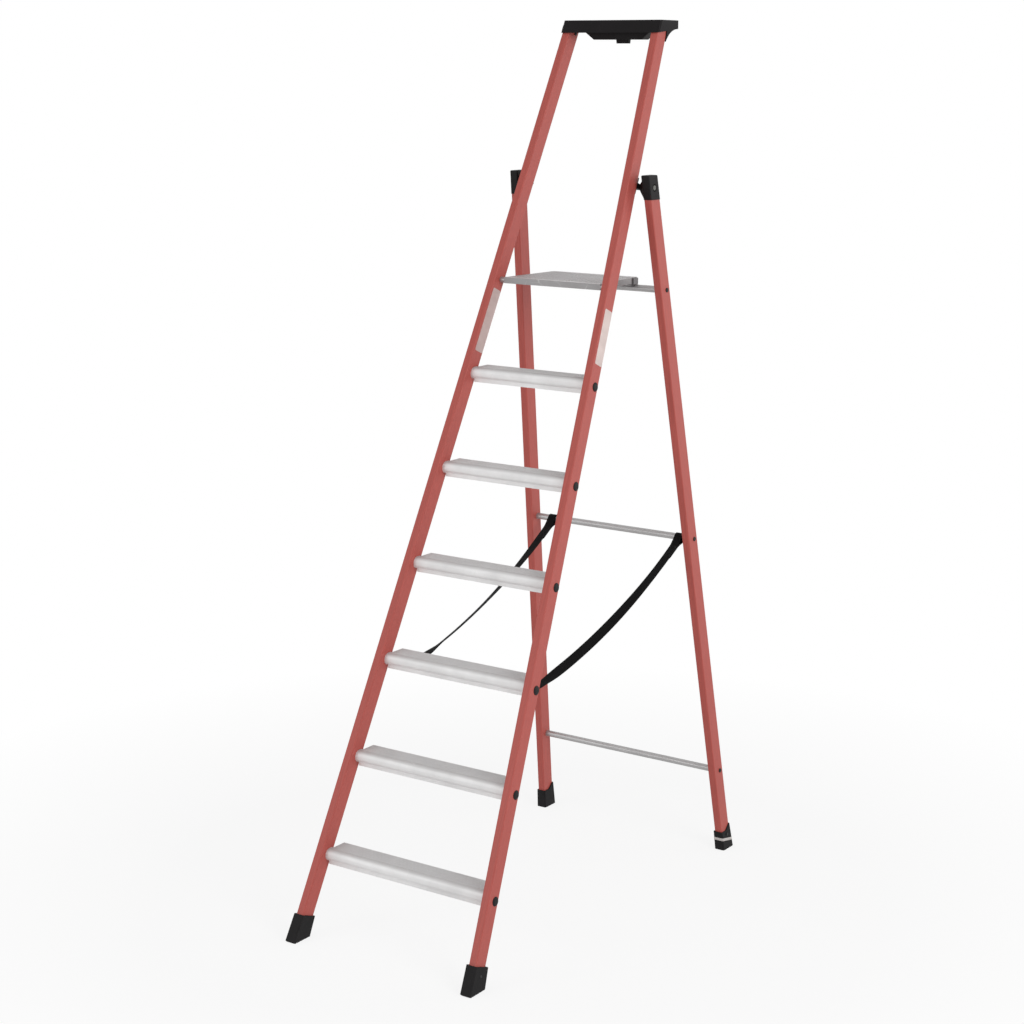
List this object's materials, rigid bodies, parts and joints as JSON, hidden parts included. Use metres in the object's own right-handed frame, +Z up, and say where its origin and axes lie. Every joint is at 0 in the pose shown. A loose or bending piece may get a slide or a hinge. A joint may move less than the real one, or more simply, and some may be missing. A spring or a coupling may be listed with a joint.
{
  "type": "stepladder",
  "caption": "Folding platform stepladder with box-section fiberglass stiles and rear legs, metal treads, a standing platform, a tool tray, rubber feet and spread-limiting straps.",
  "frame": {"origin": "on the floor, in the middle of the rectangle that holds the four feet of the open ladder", "axes": "+X to the right of someone who faces the treads, +Y from the treads towards the rear legs, +Z up"},
  "size_m": [0.648, 1.261, 2.325],
  "materials": {
    "fiberglass": "satin pultruded",
    "aluminium": "mill",
    "black_plastic": "moulded",
    "shoe_rubber": "matte",
    "webbing": "woven",
    "black_metal": "powder coated",
    "steel": "zinc plated"
  },
  "bodies": {
    "front_frame": {"left_front_stile": "fiberglass", "right_front_stile": "fiberglass", "tread_1": "aluminium", "tread_2": "aluminium", "tread_3": "aluminium", "tread_4": "aluminium", "tread_5": "aluminium", "tread_6": "aluminium", "stile_plugs": "black_plastic", "tool_tray": "black_plastic", "tray_screws": "steel", "left_front_foot": "shoe_rubber", "right_front_foot": "shoe_rubber", "front_foot_rivets": "steel", "left_hinge_bracket": "black_metal", "right_hinge_bracket": "black_metal", "bracket_rivets": "steel", "left_hinge_bolt": "steel", "right_hinge_bolt": "steel", "hinge_washers": "steel", "hinge_nuts": "steel", "platform_rod": "steel", "platform_spacers": "aluminium", "strap_tails": "webbing", "strap_clamps": "steel", "strap_rivets": "steel"},
    "rear_frame": {"left_rear_leg": "fiberglass", "right_rear_leg": "fiberglass", "left_hinge_cap": "black_plastic", "right_hinge_cap": "black_plastic", "cap_rivets": "steel", "upper_rear_bar": "aluminium", "middle_rear_bar": "aluminium", "lower_rear_bar": "aluminium", "bar_screws": "steel", "left_rear_foot": "shoe_rubber", "right_rear_foot": "shoe_rubber", "rear_foot_rivets": "steel", "left_strap_loop": "webbing", "right_strap_loop": "webbing"},
    "platform": {"platform_deck": "aluminium", "left_platform_hook": "aluminium", "right_platform_hook": "aluminium", "hook_rivets": "steel"},
    "left_strap_front_run": {"left_strap_lower": "webbing"},
    "left_strap_rear_run": {"left_strap_upper": "webbing"},
    "right_strap_front_run": {"right_strap_lower": "webbing"},
    "right_strap_rear_run": {"right_strap_upper": "webbing"}
  },
  "joints": [
    {"name": "rear_fold", "type": "hinge", "parent": "front_frame", "child": "rear_frame", "pos_m": [0, 0.30303, 1.89587], "axis": [-1, 0, 0], "range_deg": [0, 33]},
    {"name": "platform_lift", "type": "hinge", "parent": "front_frame", "child": "platform", "pos_m": [0, 0.15998, 1.646], "axis": [1, 0, 0], "range_deg": [0, 65.5]},
    {"name": "left_strap_swing", "type": "hinge", "parent": "front_frame", "child": "left_strap_front_run", "pos_m": [-0.185, -0.20892, 0.6675], "axis": [-1, 0, 0], "range_deg": [0, 78], "deforming": ["left_strap_lower"]},
    {"name": "left_strap_bend", "type": "hinge", "parent": "left_strap_front_run", "child": "left_strap_rear_run", "pos_m": [-0.18744, -0.01385, 0.74679], "axis": [1, 0, 0], "range_deg": [0, 147], "deforming": ["left_strap_upper"]},
    {"name": "right_strap_swing", "type": "hinge", "parent": "front_frame", "child": "right_strap_front_run", "pos_m": [0.205, -0.20892, 0.6675], "axis": [-1, 0, 0], "range_deg": [0, 78], "deforming": ["right_strap_lower"]},
    {"name": "right_strap_bend", "type": "hinge", "parent": "right_strap_front_run", "child": "right_strap_rear_run", "pos_m": [0.2114, -0.01385, 0.74679], "axis": [1, 0, 0], "range_deg": [0, 147], "deforming": ["right_strap_upper"]}
  ],
  "couplings": [
    {"joint": "platform_lift", "follows": "rear_fold", "ratio": 1.9818},
    {"joint": "left_strap_swing", "follows": "rear_fold", "ratio": 2.3574},
    {"joint": "left_strap_bend", "follows": "rear_fold", "ratio": 4.4274},
    {"joint": "right_strap_swing", "follows": "rear_fold", "ratio": 2.3574},
    {"joint": "right_strap_bend", "follows": "rear_fold", "ratio": 4.4274}
  ]
}
